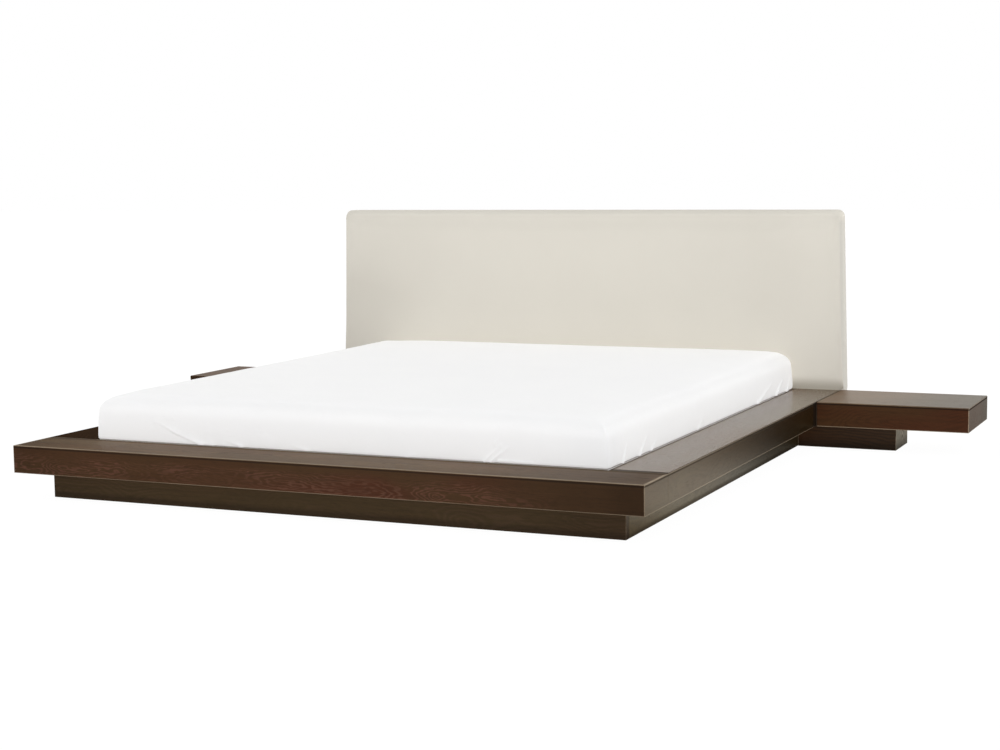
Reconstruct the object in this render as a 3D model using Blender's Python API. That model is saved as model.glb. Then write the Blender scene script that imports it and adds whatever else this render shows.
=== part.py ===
"""Low platform bed with a faux leather headboard, two bedside shelves and a slatted base.

Metres, +Z up, foot end towards -Y. The origin is on the floor, under the middle of the whole bed.
Run with: blender --background --python part.py
"""

from math import cos, pi, radians, sin

import bmesh
import bpy
from mathutils import Vector

# Fit
seat_gap = 0.0003
overrun = 0.010
board_arris = 0.0012
joined_arris = 0.0004  # where a joint between two veneered faces hardly shows
merge_distance = 0.000001

# Mattress and sheet
mattress_width = 1.800
mattress_length = 2.000
mattress_height = 0.188
mattress_crown = 0.007
mattress_top_radius = 0.040
mattress_foot_radius = 0.012
mattress_corner_radius = 0.024
mattress_clearance = 0.003
mattress_sink = 0.042
sheet_thickness = 0.0015
sheet_hem = 0.070
crown_inset_shares = (0.16, 0.42, 0.72)
crown_rise_shares = (0.55, 0.90, 1.00)

# Frame boxes
board = 0.018
rail_width = 0.182
rail_height = 0.090
foot_rail_depth = 0.200
head_rail_thickness = 0.036

# Plinth
plinth_height = 0.090
plinth_board = 0.025
plinth_recess_side = 0.088
plinth_recess_foot = 0.090
plinth_recess_head = 0.005

# Bedside shelves and their blocks
shelf_width = 0.555
shelf_depth = 0.385
shelf_past_frame = 0.013
shelf_gap = 0.002
support_setback_front = 0.085
support_depth = 0.200
support_setback_end = 0.277

# Slatted base
slat_count = 10
slat_width = 0.130
slat_thickness = 0.018
slat_end_clearance = 0.002
slat_first_gap = 0.010
slat_edge_radius = 0.004
ledger_width = 0.028
ledger_height = 0.028
beam_width = 0.045
beam_height = 0.070
foot_place_shares = (0.30, 0.70)

# Corner brackets
bracket_leg = 0.045
bracket_height = 0.024
bracket_plate = 0.003
bracket_lift = 0.003
bracket_hole_radius = 0.0025
bracket_hole_pitch = 0.016
bracket_hole_end = 0.010

# Levelling feet
round_sides = 32
stem_radius = 0.005
stem_in_beam = 0.034
ball_radius = 0.004
socket_clearance = 0.0001
thread_clearance = 0.0001
hex_across_flats = 0.017
hex_height = 0.006
hex_lift = 0.004
pad_radius = 0.020
pad_height = 0.012
pad_edge_height = 0.005
pad_top_radius = 0.010
pad_floor = 0.003
nut_flange_radius = 0.013
nut_flange = 0.0015
nut_barrel_radius = 0.007
nut_barrel = 0.012
beam_bore_clearance = 0.0005
beam_bore_depth = 0.054

# Headboard
headboard_top = 0.875
headboard_corner_radius = 0.026
headboard_draw_in = 0.009
headboard_front_radius = 0.022
headboard_back_radius = 0.008
headboard_foam = 0.045
headboard_foam_edge = 0.022
headboard_panel_thickness = 0.009
headboard_timber = 0.025
headboard_stile_width = 0.070
headboard_rail_width = 0.060
cover_thickness = 0.002
cover_return = 0.035
back_cloth_thickness = 0.001
back_cloth_inset = 0.020
corner_steps = 4
least_corner_radius = 0.002

# What follows from them
deck_top = plinth_height + rail_height
slat_top = deck_top - mattress_sink
recess_half = mattress_width / 2 + mattress_clearance
outer_half = recess_half + rail_width
plinth_half = outer_half - plinth_recess_side
headboard_half = outer_half
frame_length = foot_rail_depth + mattress_length + 2 * mattress_clearance + head_rail_thickness
cover_depth = 2 * cover_thickness + headboard_foam + headboard_panel_thickness + headboard_timber + 3 * seat_gap
bed_length = frame_length + seat_gap + cover_depth + seat_gap + back_cloth_thickness
y_foot = -bed_length / 2
y_recess = y_foot + foot_rail_depth
y_head_rail = y_recess + mattress_length + 2 * mattress_clearance
y_frame_end = y_foot + frame_length
y_headboard = y_frame_end + seat_gap


def clear_scene():
    for obj in list(bpy.data.objects):
        bpy.data.objects.remove(obj, do_unlink=True)


def finish_material(name, colour, roughness, metallic=0.0):
    material = bpy.data.materials.new(name)
    material.use_nodes = True
    shader = material.node_tree.nodes["Principled BSDF"]
    shader.inputs["Base Color"].default_value = (*colour, 1.0)
    shader.inputs["Roughness"].default_value = roughness
    shader.inputs["Metallic"].default_value = metallic
    return material


def add_object(name, bm, material, origin=Vector((0, 0, 0))):
    """Makes an object of bm, with its origin at a point of its own joint where it moves."""
    bmesh.ops.recalc_face_normals(bm, faces=bm.faces)
    bmesh.ops.translate(bm, verts=bm.verts, vec=-Vector(origin))
    mesh = bpy.data.meshes.new(name)
    bm.to_mesh(mesh)
    bm.free()
    mesh.materials.append(material)
    obj = bpy.data.objects.new(name, mesh)
    obj.location = origin
    bpy.context.scene.collection.objects.link(obj)
    return obj


def ease_arrises(obj, width=board_arris, segments=1):
    """Takes the sharp edges off a piece."""
    bevel = obj.modifiers.new("Arris", "BEVEL")
    bevel.width = width
    bevel.segments = segments
    bevel.limit_method = "ANGLE"
    bevel.angle_limit = radians(30)
    return obj


def smooth(obj, degrees=40):
    obj.data.shade_smooth()
    obj.data.set_sharp_from_angle(angle=radians(degrees))
    return obj


def box_mesh(low, high):
    low, high = Vector(low), Vector(high)
    bm = bmesh.new()
    bmesh.ops.create_cube(bm, size=1)
    bmesh.ops.scale(bm, verts=bm.verts, vec=high - low)
    bmesh.ops.translate(bm, verts=bm.verts, vec=(low + high) / 2)
    return bm


def mirrored(side, x_one, x_two):
    """The x range of a piece, on the right for side 1 and mirrored to the left for side -1."""
    return min(side * x_one, side * x_two), max(side * x_one, side * x_two)


def make_board(name, x_range, y_range, z_range, material, mitres=(), arris=board_arris, segments=1):
    """A flat board. Each mitre is a point on its plane and the direction that is cut away."""
    low = (x_range[0], y_range[0], z_range[0])
    high = (x_range[1], y_range[1], z_range[1])
    bm = box_mesh(low, high)
    for point, away in mitres:
        away = Vector(away).normalized()
        geometry = bm.verts[:] + bm.edges[:] + bm.faces[:]
        cut = bmesh.ops.bisect_plane(
            bm,
            geom=geometry,
            dist=merge_distance,
            plane_co=Vector(point) - away * seat_gap / 2,
            plane_no=away,
            clear_outer=True,
        )
        edges = [part for part in cut["geom_cut"] if isinstance(part, bmesh.types.BMEdge)]
        bmesh.ops.edgeloop_fill(bm, edges=edges)
    return ease_arrises(add_object(name, bm, material), arris, segments)


def loft(rings, closed=False):
    """Walls from ring to ring, with a cap at each end, or round to the first ring again if closed."""
    bm = bmesh.new()
    loops = [[bm.verts.new(point) for point in ring] for ring in rings]
    pairs = list(zip(loops, loops[1:]))
    if closed:
        pairs.append((loops[-1], loops[0]))
    for first, second in pairs:
        for here in range(len(first)):
            after = (here + 1) % len(first)
            bm.faces.new((first[here], first[after], second[after], second[here]))
    if not closed:
        bm.faces.new(loops[0])
        bm.faces.new(loops[-1])
    return bm


def rounded_outline(half_width, low, high, radius, inset=0):
    """Points round a rectangle with round corners, drawn in on all sides by inset."""
    radius = max(radius - inset, least_corner_radius)
    half_width, low, high = half_width - inset, low + inset, high - inset
    centres = (
        (half_width - radius, high - radius, 0),
        (-half_width + radius, high - radius, pi / 2),
        (-half_width + radius, low + radius, pi),
        (half_width - radius, low + radius, 3 * pi / 2),
    )
    points = []
    for across, up, start in centres:
        for step in range(corner_steps + 1):
            angle = start + step * pi / 2 / corner_steps
            points.append((across + radius * cos(angle), up + radius * sin(angle)))
    return points


def circle_ring(x, y, z, radius):
    turns = [2 * pi * step / round_sides for step in range(round_sides)]
    return [(x + radius * cos(turn), y + radius * sin(turn), z) for turn in turns]


def hexagon_ring(x, y, z, across_flats):
    """A hexagon with as many points as a circle ring, so that the two can be lofted together."""
    ring = []
    for step in range(round_sides):
        turn = 2 * pi * step / round_sides
        from_flat = (turn + pi / 6) % (pi / 3) - pi / 6
        radius = across_flats / 2 / cos(from_flat)
        ring.append((x + radius * cos(turn), y + radius * sin(turn), z))
    return ring


def quarter_arc(radius, steps, rising):
    """(inset, run) pairs round a quarter circle: inset falls from radius to 0 while run rises, or back."""
    pairs = []
    for step in range(steps + 1):
        angle = step * pi / 2 / steps
        if rising:
            pairs.append((radius * (1 - sin(angle)), radius * (1 - cos(angle))))
        else:
            pairs.append((radius * (1 - cos(angle)), radius * sin(angle)))
    return pairs


def cut_away(target, name, bm, material):
    cutter = add_object(name, bm, material)
    cutter.hide_render = True
    cutter.display_type = "WIRE"
    cut = target.modifiers.new(name, "BOOLEAN")
    cut.operation = "DIFFERENCE"
    cut.solver = "EXACT"
    cut.object = cutter


def make_foot_rail(veneer):
    front = (0, y_foot, deck_top)
    z_full = (plinth_height, deck_top)
    inside = outer_half - board - seat_gap
    end_mitres = [((side * outer_half, 0, deck_top), (side, 0, -1)) for side in (1, -1)]
    corner_mitres = [((side * outer_half, y_foot, 0), (side, 1, 0)) for side in (1, -1)]
    across = (-outer_half, outer_half)
    deep = (y_foot, y_recess)
    top_z = (deck_top - board, deck_top)
    make_board("foot_rail_top", across, deep, top_z, veneer, [(front, (0, -1, -1)), *end_mitres])
    face = (y_foot, y_foot + board)
    make_board("foot_rail_fascia", across, face, z_full, veneer, [(front, (0, 1, 1)), *corner_mitres])
    for side, word in ((-1, "left"), (1, "right")):
        mitres = [
            ((side * outer_half, 0, deck_top), (-side, 0, 1)),
            ((side * outer_half, y_foot, 0), (-side, -1, 0)),
        ]
        x_range = mirrored(side, outer_half - board, outer_half)
        make_board(f"foot_rail_end_{word}", x_range, deep, z_full, veneer, mitres, arris=joined_arris)
    under_top = (plinth_height, deck_top - board - seat_gap)
    make_board("foot_rail_inner", (-inside, inside), (y_recess - board, y_recess), under_top, veneer)
    between = (y_foot + board + seat_gap, y_recess - board - seat_gap)
    base = (plinth_height, plinth_height + board)
    make_board("foot_rail_bottom", (-inside, inside), between, base, veneer)


def make_side_rail(side, word, veneer):
    along = (y_recess + seat_gap, y_frame_end)
    z_full = (plinth_height, deck_top)
    edge = (side * outer_half, 0, deck_top)
    outer = mirrored(side, outer_half - board, outer_half)
    inner = mirrored(side, recess_half, recess_half + board)
    between = mirrored(side, recess_half + board + seat_gap, outer_half - board - seat_gap)
    whole = mirrored(side, recess_half, outer_half)
    top_z = (deck_top - board, deck_top)
    make_board(f"side_rail_{word}_top", whole, along, top_z, veneer, [(edge, (side, 0, -1))])
    mitre = [(edge, (-side, 0, 1))]
    make_board(f"side_rail_{word}_fascia", outer, along, z_full, veneer, mitre, arris=joined_arris)
    under_top = (plinth_height, deck_top - board - seat_gap)
    make_board(f"side_rail_{word}_inner", inner, along, under_top, veneer)
    base = (plinth_height, plinth_height + board)
    make_board(f"side_rail_{word}_bottom", between, along, base, veneer)


def make_plinth(veneer):
    z_range = (0, plinth_height - seat_gap)
    y_front = y_foot + plinth_recess_foot
    y_back = y_frame_end - plinth_recess_head
    front = (y_front, y_front + plinth_board)
    make_board("plinth_front", (-plinth_half, plinth_half), front, z_range, veneer)
    for side, word in ((-1, "left"), (1, "right")):
        x_range = mirrored(side, plinth_half - plinth_board, plinth_half)
        along = (y_front + plinth_board + seat_gap, y_back)
        make_board(f"plinth_{word}", x_range, along, z_range, veneer)
    half = plinth_half - plinth_board - seat_gap
    make_board("plinth_back", (-half, half), (y_back - plinth_board, y_back), z_range, veneer)


def make_shelf(side, word, veneer):
    """A box of three pieces: the top board, a rim folded round three sides, and the bottom board."""
    x_bed = outer_half + shelf_gap
    x_end = x_bed + shelf_width
    y_back = y_frame_end + shelf_past_frame
    y_front = y_back - shelf_depth
    mitres = [
        ((0, y_front, deck_top), (0, -1, -1)),
        ((0, y_back, deck_top), (0, 1, -1)),
        ((side * x_end, 0, deck_top), (side, 0, -1)),
    ]
    whole = mirrored(side, x_bed, x_end)
    top_z = (deck_top - board, deck_top)
    make_board(f"bedside_{word}_top", whole, (y_front, y_back), top_z, veneer, mitres)
    inside = mirrored(side, x_bed, x_end - board - seat_gap)
    between = (y_front + board + seat_gap, y_back - board - seat_gap)
    base = (plinth_height, plinth_height + board)
    make_board(f"bedside_{word}_bottom", inside, between, base, veneer)
    stations = (
        (x_bed, y_front, 0, board),
        (x_end, y_front, -board, board),
        (x_end, y_back, -board, -board),
        (x_bed, y_back, 0, -board),
    )
    rings = []
    for x, y, in_x, in_y in stations:
        outer_top = deck_top - seat_gap
        ring = [
            (side * x, y, outer_top),
            (side * x, y, plinth_height),
            (side * (x + in_x), y + in_y, plinth_height),
            (side * (x + in_x), y + in_y, outer_top - board),
        ]
        rings.append(ring)
    ease_arrises(add_object(f"bedside_{word}_rim", loft(rings), veneer))
    y_block = y_front + support_setback_front
    block = mirrored(side, plinth_half + seat_gap, x_end - support_setback_end)
    block_z = (0, plinth_height - seat_gap)
    make_board(f"bedside_{word}_support", block, (y_block, y_block + support_depth), block_z, veneer)


def make_slatted_base(timber, veneer):
    half = recess_half - seat_gap
    make_board("head_rail", (-half, half), (y_head_rail, y_frame_end), (plinth_height, deck_top), veneer)
    slat_z = (slat_top - slat_thickness, slat_top)
    ledger_top = slat_z[0] - seat_gap
    ledger_y = (y_recess + bracket_leg + 2 * seat_gap, y_head_rail - bracket_leg - 2 * seat_gap)
    for side, word in ((-1, "left"), (1, "right")):
        x_range = mirrored(side, recess_half - seat_gap - ledger_width, recess_half - seat_gap)
        make_board(f"slat_ledger_{word}", x_range, ledger_y, (ledger_top - ledger_height, ledger_top), timber)
    slat_half = recess_half - slat_end_clearance
    first = y_recess + slat_first_gap
    pitch = (y_head_rail - slat_first_gap - slat_width - first) / (slat_count - 1)
    for number in range(slat_count):
        y = first + number * pitch
        name = f"slat_{number + 1:02d}"
        across = (-slat_half, slat_half)
        make_board(name, across, (y, y + slat_width), slat_z, timber, arris=slat_edge_radius, segments=2)


def make_brackets(steel):
    z_low = plinth_height + bracket_lift
    places = (
        ("foot", y_recess + seat_gap, 1),
        ("head", y_head_rail - seat_gap, -1),
    )
    for end, y, towards in places:
        for side, word in ((-1, "left"), (1, "right")):
            x = recess_half - seat_gap
            corner = (
                (x, y),
                (x - bracket_leg, y),
                (x - bracket_leg, y + towards * bracket_plate),
                (x - bracket_plate, y + towards * bracket_plate),
                (x - bracket_plate, y + towards * bracket_leg),
                (x, y + towards * bracket_leg),
            )
            low = [(side * across, along, z_low) for across, along in corner]
            high = [(side * across, along, z_low + bracket_height) for across, along in corner]
            name = f"corner_bracket_{end}_{word}"
            bracket = add_object(name, loft([low, high]), steel)
            z_hole = z_low + bracket_height / 2
            for number in range(2):
                run = bracket_leg - bracket_hole_end - number * bracket_hole_pitch
                hole_y = y + towards * run
                side_hole = across_x_rod(side * x, hole_y, z_hole)
                cut_away(bracket, f"{name}_side_hole_{number + 1}", side_hole, steel)
                end_hole = across_y_rod(side * (x - run), y, z_hole)
                cut_away(bracket, f"{name}_end_hole_{number + 1}", end_hole, steel)


def hole_circle():
    turns = [2 * pi * step / round_sides for step in range(0, round_sides, 2)]
    return [(bracket_hole_radius * cos(turn), bracket_hole_radius * sin(turn)) for turn in turns]


def across_x_rod(x, y, z):
    reach = bracket_plate + overrun
    ends = (x - reach, x + reach)
    return loft([[(end, y + a, z + b) for a, b in hole_circle()] for end in ends])


def across_y_rod(x, y, z):
    reach = bracket_plate + overrun
    ends = (y - reach, y + reach)
    return loft([[(x + a, end, z + b) for a, b in hole_circle()] for end in ends])


def make_centre_beam(timber, steel, plastic):
    beam_top = slat_top - slat_thickness - seat_gap
    beam_low = beam_top - beam_height
    half = beam_width / 2
    along = (y_recess + seat_gap, y_head_rail - seat_gap)
    beam = make_board("centre_beam", (-half, half), along, (beam_low, beam_top), timber, arris=board_arris)
    for number, share in enumerate(foot_place_shares, start=1):
        y = along[0] + share * (along[1] - along[0])
        bore_radius = nut_barrel_radius + beam_bore_clearance
        bore = loft(
            [
                circle_ring(0, y, beam_low - overrun, bore_radius),
                circle_ring(0, y, beam_low + beam_bore_depth, bore_radius),
            ]
        )
        cut_away(beam, f"centre_beam_bore_{number}", bore, timber)
        make_nut(number, y, beam_low, steel)
        make_levelling_foot(number, y, beam_low, steel, plastic)


def make_nut(number, y, beam_low, steel):
    bore = stem_radius + thread_clearance
    flange_top = beam_low - seat_gap
    flange_low = flange_top - nut_flange
    barrel_top = beam_low + nut_barrel
    rings = [
        circle_ring(0, y, flange_low, bore),
        circle_ring(0, y, flange_low, nut_flange_radius),
        circle_ring(0, y, flange_top, nut_flange_radius),
        circle_ring(0, y, flange_top, nut_barrel_radius),
        circle_ring(0, y, barrel_top, nut_barrel_radius),
        circle_ring(0, y, barrel_top, bore),
    ]
    smooth(add_object(f"beam_nut_{number}", loft(rings, closed=True), steel))


def make_levelling_foot(number, y, beam_low, steel, plastic):
    socket = ball_radius + socket_clearance
    pad_rings = [
        circle_ring(0, y, 0, pad_radius),
        circle_ring(0, y, pad_edge_height, pad_radius),
        circle_ring(0, y, pad_height, pad_top_radius),
        circle_ring(0, y, pad_height, socket),
        circle_ring(0, y, pad_floor, socket),
    ]
    pad_origin = (0, y, 0)
    smooth(add_object(f"foot_pad_{number}", loft(pad_rings), plastic, pad_origin))
    hex_low = pad_height + hex_lift
    stem_top = beam_low + stem_in_beam
    stem_rings = [
        circle_ring(0, y, pad_floor + seat_gap, ball_radius),
        circle_ring(0, y, pad_height + seat_gap, ball_radius),
        circle_ring(0, y, pad_height + seat_gap, stem_radius),
        circle_ring(0, y, hex_low, stem_radius),
        hexagon_ring(0, y, hex_low, hex_across_flats),
        hexagon_ring(0, y, hex_low + hex_height, hex_across_flats),
        circle_ring(0, y, hex_low + hex_height, stem_radius),
        circle_ring(0, y, stem_top, stem_radius),
    ]
    smooth(add_object(f"foot_stem_{number}", loft(stem_rings), steel, pad_origin))


def headboard_ring(inset, y):
    """One outline of the padded slab, which is a little narrower at the top than at the bottom."""
    outline = rounded_outline(headboard_half, plinth_height, headboard_top, headboard_corner_radius, inset)
    draw_in_share = headboard_draw_in / headboard_half
    ring = []
    for x, z in outline:
        rise_share = (z - plinth_height) / (headboard_top - plinth_height)
        ring.append((x * (1 - draw_in_share * rise_share), y, z))
    return ring


def headboard_skin(inset):
    """Rings of the padded slab from its front edge to its back edge, drawn in on all sides by inset."""
    y_front = y_headboard + inset
    y_back = y_headboard + cover_depth - inset
    front = quarter_arc(headboard_front_radius - inset, 4, rising=True)
    back = quarter_arc(headboard_back_radius - inset, 2, rising=False)
    rings = [headboard_ring(inset + in_by, y_front + run) for in_by, run in front]
    y_bend = y_back - (headboard_back_radius - inset)
    rings += [headboard_ring(inset + in_by, y_bend + run) for in_by, run in back]
    return rings


def stile_notch(side):
    """Where a stile passes the padding's lower edge on its way to the floor."""
    x_outer = headboard_half - headboard_foam_edge
    x_range = mirrored(side, x_outer - headboard_stile_width - seat_gap, x_outer)
    y_timber = y_headboard + cover_depth - cover_thickness - headboard_timber
    low = (x_range[0], y_timber - 2 * seat_gap, plinth_height - overrun)
    high = (x_range[1], y_timber + headboard_timber + overrun, plinth_height + headboard_foam_edge + overrun)
    return box_mesh(low, high)


def make_headboard(leather, foam, plywood, timber, cloth):
    outer = headboard_skin(0)
    inner = headboard_skin(cover_thickness)
    y_back = y_headboard + cover_depth
    flange = headboard_ring(headboard_back_radius + cover_return, y_back)
    flange_inner = headboard_ring(headboard_back_radius + cover_return, y_back - cover_thickness)
    cover = add_object("headboard_cover", loft([*outer, flange, flange_inner, *reversed(inner)]), leather)
    smooth(cover)

    pad_inset = cover_thickness + seat_gap
    pad = add_object("headboard_foam", loft(headboard_skin(pad_inset)), foam)
    x_pocket = headboard_half - headboard_foam_edge
    y_pocket = y_headboard + pad_inset + headboard_foam
    z_pocket = (plinth_height + headboard_foam_edge, headboard_top - headboard_foam_edge)
    pocket = box_mesh((-x_pocket, y_pocket, z_pocket[0]), (x_pocket, y_back + overrun, z_pocket[1]))
    cut_away(pad, "headboard_foam_pocket", pocket, foam)
    for side, word in ((-1, "left"), (1, "right")):
        cut_away(pad, f"headboard_foam_notch_{word}", stile_notch(side), foam)
        cut_away(cover, f"headboard_cover_notch_{word}", stile_notch(side), leather)

    half = x_pocket - seat_gap
    z_low, z_high = z_pocket[0] + seat_gap, z_pocket[1] - seat_gap
    panel_y = (y_pocket + seat_gap / 2, y_pocket + seat_gap / 2 + headboard_panel_thickness)
    make_board("headboard_panel", (-half, half), panel_y, (z_low, z_high), plywood)
    timber_back = y_back - cover_thickness - seat_gap / 2
    timber_y = (timber_back - headboard_timber, timber_back)
    stile_x = half - headboard_stile_width
    for side, word in ((-1, "left"), (1, "right")):
        make_board(f"headboard_stile_{word}", mirrored(side, stile_x, half), timber_y, (0, z_high), timber)
    cross_half = stile_x - seat_gap
    low_rail = (z_low, z_low + headboard_rail_width)
    high_rail = (z_high - headboard_rail_width, z_high)
    make_board("headboard_rail_bottom", (-cross_half, cross_half), timber_y, low_rail, timber)
    make_board("headboard_rail_top", (-cross_half, cross_half), timber_y, high_rail, timber)

    cloth_half = headboard_half - back_cloth_inset
    cloth_y = (y_back + seat_gap, y_back + seat_gap + back_cloth_thickness)
    cloth_z = (plinth_height + back_cloth_inset, headboard_top - back_cloth_inset)
    name = "headboard_back_cloth"
    make_board(name, (-cloth_half, cloth_half), cloth_y, cloth_z, cloth, arris=back_cloth_thickness / 4)


def mattress_ring(inset, z):
    half_length = mattress_length / 2
    outline = rounded_outline(mattress_width / 2, -half_length, half_length, mattress_corner_radius, inset)
    y_middle = (y_recess + y_head_rail) / 2
    return [(x, y_middle + y, z) for x, y in outline]


def mattress_skin(inset, foot_inset):
    """Rings from the underside, up the sides, over the rounded top edge and in to the crown."""
    z_low = slat_top + seat_gap + inset
    z_edge = slat_top + seat_gap + mattress_height - inset
    foot_radius = mattress_foot_radius - inset
    top_radius = mattress_top_radius - inset
    rings = [mattress_ring(foot_inset, z_low)]
    for in_by, run in quarter_arc(foot_radius, 3, rising=True):
        rings.append(mattress_ring(inset + in_by, z_low + run))
    for in_by, run in quarter_arc(top_radius, 5, rising=False):
        rings.append(mattress_ring(inset + in_by, z_edge - top_radius + run))
    for inset_share, rise_share in zip(crown_inset_shares, crown_rise_shares):
        deep = inset + top_radius + inset_share * (mattress_width / 2 - mattress_top_radius)
        rings.append(mattress_ring(deep, z_edge + rise_share * mattress_crown))
    return rings


def make_mattress(ticking, linen):
    outer = mattress_skin(0, sheet_hem)
    inner = mattress_skin(sheet_thickness, sheet_hem)
    y_middle = (y_recess + y_head_rail) / 2
    origin = (0, y_middle, slat_top)
    smooth(add_object("fitted_sheet", loft([*reversed(outer), *inner]), linen, origin))
    core_inset = sheet_thickness + seat_gap
    smooth(add_object("mattress_core", loft(mattress_skin(core_inset, sheet_hem)), ticking, origin))


def main():
    clear_scene()
    veneer = finish_material("dark_oak_veneer", (0.060, 0.036, 0.025), 0.38)
    timber = finish_material("pine", (0.60, 0.42, 0.24), 0.60)
    plywood = finish_material("plywood", (0.55, 0.40, 0.25), 0.65)
    leather = finish_material("beige_faux_leather", (0.70, 0.67, 0.58), 0.50)
    foam = finish_material("foam", (0.85, 0.80, 0.60), 0.90)
    cloth = finish_material("dust_cloth", (0.02, 0.02, 0.02), 0.95)
    steel = finish_material("zinc_steel", (0.55, 0.56, 0.58), 0.35, 1.0)
    plastic = finish_material("black_plastic", (0.02, 0.02, 0.02), 0.50)
    ticking = finish_material("mattress_ticking", (0.80, 0.79, 0.76), 0.85)
    linen = finish_material("white_sheet", (0.87, 0.87, 0.87), 0.85)

    make_foot_rail(veneer)
    make_plinth(veneer)
    for side, word in ((-1, "left"), (1, "right")):
        make_side_rail(side, word, veneer)
        make_shelf(side, word, veneer)
    make_slatted_base(timber, veneer)
    make_brackets(steel)
    make_centre_beam(timber, steel, plastic)
    make_headboard(leather, foam, plywood, timber, cloth)
    make_mattress(ticking, linen)


main()
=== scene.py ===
from math import copysign, exp, hypot, pi, radians, sin

import bmesh
import bpy
from mathutils import Matrix, Vector, noise


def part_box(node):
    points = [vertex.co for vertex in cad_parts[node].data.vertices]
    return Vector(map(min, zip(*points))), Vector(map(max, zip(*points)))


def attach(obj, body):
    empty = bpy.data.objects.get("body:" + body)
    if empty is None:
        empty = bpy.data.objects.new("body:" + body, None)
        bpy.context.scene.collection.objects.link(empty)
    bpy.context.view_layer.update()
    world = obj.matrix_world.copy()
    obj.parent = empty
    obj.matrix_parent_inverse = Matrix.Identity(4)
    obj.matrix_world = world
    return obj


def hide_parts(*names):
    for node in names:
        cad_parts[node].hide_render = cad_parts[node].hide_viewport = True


# Low platform bed: dark oak veneer frame, faux leather headboard, white fitted sheet.
# Metres, foot end towards -Y, the floor at z = 0.

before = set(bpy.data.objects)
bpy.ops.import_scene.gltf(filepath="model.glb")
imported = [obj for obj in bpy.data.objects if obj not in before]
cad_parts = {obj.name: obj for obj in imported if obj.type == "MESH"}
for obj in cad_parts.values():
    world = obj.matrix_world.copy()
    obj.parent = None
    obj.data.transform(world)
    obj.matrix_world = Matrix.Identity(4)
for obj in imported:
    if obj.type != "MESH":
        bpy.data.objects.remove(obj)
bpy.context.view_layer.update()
print("frame loaded:", len(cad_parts), "parts")


def cornersOf(name):
    return [Vector(corner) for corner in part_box(name)]


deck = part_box("side_rail_right_top")[1][2]  # the height of the rails and shelves


# Shader maths


def reckoning(operation, otherFirst=False):
    def reckon(wire, other=None):
        return wire.math(operation, other, wire) if otherFirst else wire.math(operation, wire, other)

    return reckon


class Wire:
    # one socket of a material; sums and products of wires add their Math nodes
    def __init__(self, bench, socket):
        self.bench = bench
        self.socket = socket

    def math(self, operation, first, second=None):
        inputs = {0: first} if second is None else {0: first, 1: second}
        return self.bench.node("Math", {"operation": operation}, inputs)

    __add__ = reckoning("ADD")
    __radd__ = reckoning("ADD", True)
    __sub__ = reckoning("SUBTRACT")
    __rsub__ = reckoning("SUBTRACT", True)
    __mul__ = reckoning("MULTIPLY")
    root = reckoning("SQRT")
    wave = reckoning("SINE")
    pingPong = reckoning("PINGPONG")
    size = reckoning("ABSOLUTE")
    atMost = reckoning("MINIMUM")
    atLeast = reckoning("MAXIMUM")


class Bench:
    # a material or world under construction, with the nodes that go into it
    sockets = {"colour": "Base Color", "sheen": "Sheen Weight", "gloss": "Specular IOR Level"}

    def __init__(self, name, kind=bpy.data.materials):
        self.made = kind.new(name)
        self.made.use_nodes = True
        self.tree = self.made.node_tree
        self.shader = self.tree.nodes.get("Principled BSDF")

    def node(self, kind, settings=None, inputs=None, output=0):
        made = self.tree.nodes.new("ShaderNode" + kind)
        for key, value in (settings or {}).items():
            setattr(made, key, value)
        for key, value in (inputs or {}).items():
            self.feed(made.inputs[key], value)
        if output == "all":
            return [Wire(self, socket) for socket in made.outputs]
        return Wire(self, made.outputs[output])

    def feed(self, socket, value):
        if isinstance(value, Wire):
            self.tree.links.new(value.socket, socket)
        elif socket.type == "RGBA" and len(value) == 3:
            socket.default_value = (*value, 1)
        else:
            socket.default_value = value

    def place(self, turn=(0, 0, 0), size=(1, 1, 1)):
        # object coordinates, turned and stretched for a pattern
        coords = self.node("TexCoord", output=3)
        look = {"Vector": coords, "Rotation": turn, "Scale": size}
        return self.node("Mapping", None, look)

    def split(self, vector):
        return self.node("SeparateXYZ", None, {0: vector}, "all")

    def join(self, x, y, z):
        return self.node("CombineXYZ", None, {0: x, 1: y, 2: z})

    def grain(self, vector, scale, detail=2, rough=0.5, output=0):
        look = {"Vector": vector, "Scale": scale, "Detail": detail, "Roughness": rough}
        return self.node("TexNoise", None, look, output)

    def streaks(self, spot, alongIt, acrossIt, shift=0, detail=2, rough=0.6, output=0):
        # noise drawn out along the grain; spot holds the wires along it, across it and in depth
        run, across, deep = spot
        stretched = self.join(run * alongIt + shift, across * acrossIt, deep * acrossIt)
        return self.grain(stretched, 1, detail, rough, output)

    def cells(self, vector, scale, feature="F1"):
        return self.node("TexVoronoi", {"feature": feature}, {"Vector": vector, "Scale": scale})

    def ease(self, value, low, high, first=0, last=1):
        # a smooth step of value from low to high
        inputs = {0: value, 1: low, 2: high, 3: first, 4: last}
        return self.node("MapRange", {"interpolation_type": "SMOOTHSTEP"}, inputs)

    def mix(self, share, first, second, mode="MIX"):
        settings = {"data_type": "RGBA", "blend_type": mode}
        return self.node("Mix", settings, {0: share, 6: first, 7: second}, 2)

    def bump(self, height, distance, strength=1, under=None):
        inputs = {"Height": height, "Distance": distance, "Strength": strength}
        if under:
            inputs["Normal"] = under
        return self.node("Bump", None, inputs)

    def finish(self, **looks):
        for key, value in looks.items():
            self.feed(self.shader.inputs[self.sockets.get(key, key.capitalize())], value)
        return self.made

    def rays(self):
        path = self.node("LightPath", output="all")
        return path[0], path[3]

    def choose(self, share, first, second):
        # of two shaders
        return self.node("MixShader", None, {0: share, 1: first, 2: second})

    def show(self, shader, output="Material Output"):
        self.tree.links.new(shader.socket, self.tree.nodes[output].inputs[0])
        return self.made


# Finishes

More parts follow.
